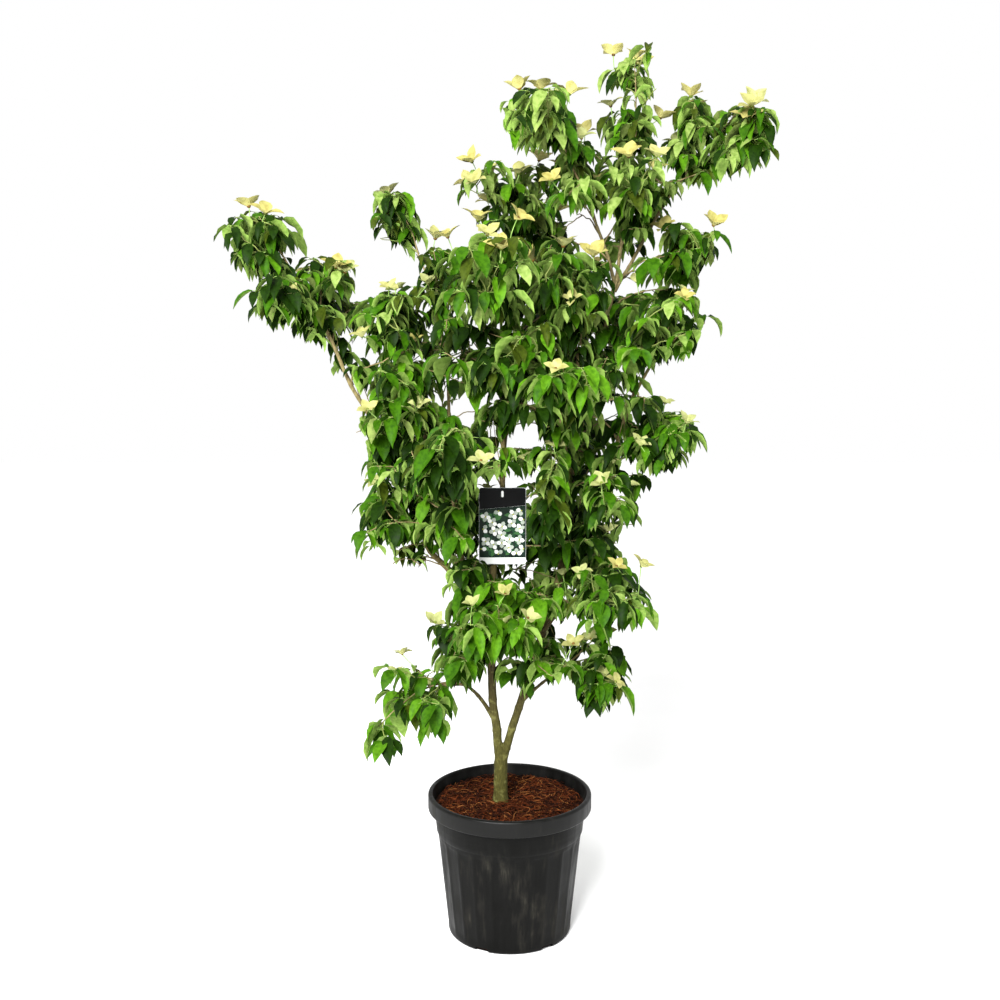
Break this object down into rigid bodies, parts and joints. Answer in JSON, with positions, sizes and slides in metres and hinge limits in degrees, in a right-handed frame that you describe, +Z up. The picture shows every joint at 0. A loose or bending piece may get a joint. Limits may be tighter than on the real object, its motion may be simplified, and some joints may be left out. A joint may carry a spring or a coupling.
{
  "type": "potted kousa dogwood tree",
  "caption": "Young two-stemmed dogwood in flower, with ascending boughs, drooping leaves in tiers and pointed cream bracts, in a round black nursery pot with a picture tag.",
  "frame": {"origin": "centre of the pot's flat underside", "axes": "+Z up along the pot's axis; -Y is the side in the picture, +X its right"},
  "size_m": [1.2538, 0.8822, 1.992],
  "materials": {
    "bark": "smooth young bark, matte",
    "foliage": "satin leaf",
    "pot_black": "moulded, dusty",
    "coir": "loose fibres, matte",
    "card": "printed plastic card"
  },
  "bodies": {
    "root": {"pot": "pot_black", "growing_medium": "coir", "trunk": "bark", "left_leader": "bark", "right_leader": "bark", "top_left_bough": "bark", "top_centre_bough": "bark", "top_right_bough": "bark", "right_limb": "bark", "right_skirt_bough": "bark", "low_right_bough": "bark", "left_limb": "bark", "left_inner_limb": "bark", "left_upper_bough": "bark", "left_front_bough": "bark", "low_front_bough": "bark", "low_left_bough": "bark", "upper_centre_bough": "bark", "front_bough": "bark", "centre_right_bough": "bark", "back_left_bough": "bark", "back_right_bough": "bark", "plant_label": "card", "top_left": "foliage", "top_left_inner": "foliage", "top_centre": "foliage", "top_inner": "foliage", "top_right_inner": "foliage", "top_right_tip": "foliage", "right_upper": "foliage", "right_shoulder": "foliage", "right_mid": "foliage", "right_low": "foliage", "right_skirt": "foliage", "low_right": "foliage", "centre_top": "foliage", "centre": "foliage", "upper_centre": "foliage", "centre_right": "foliage", "centre_front": "foliage", "inner_low": "foliage", "wing_tip": "foliage", "wing_low": "foliage", "wing_inner": "foliage", "lone_spray": "foliage", "left_upper": "foliage", "left_shoulder": "foliage", "left_mid": "foliage", "left_front": "foliage", "left_low": "foliage", "left_side": "foliage", "left_inner_low": "foliage", "low_front": "foliage", "low_left_upper": "foliage", "low_left": "foliage", "low_left_tip": "foliage", "back_left": "foliage", "back_right": "foliage", "back_top": "foliage", "back_low": "foliage"}
  },
  "joints": []
}
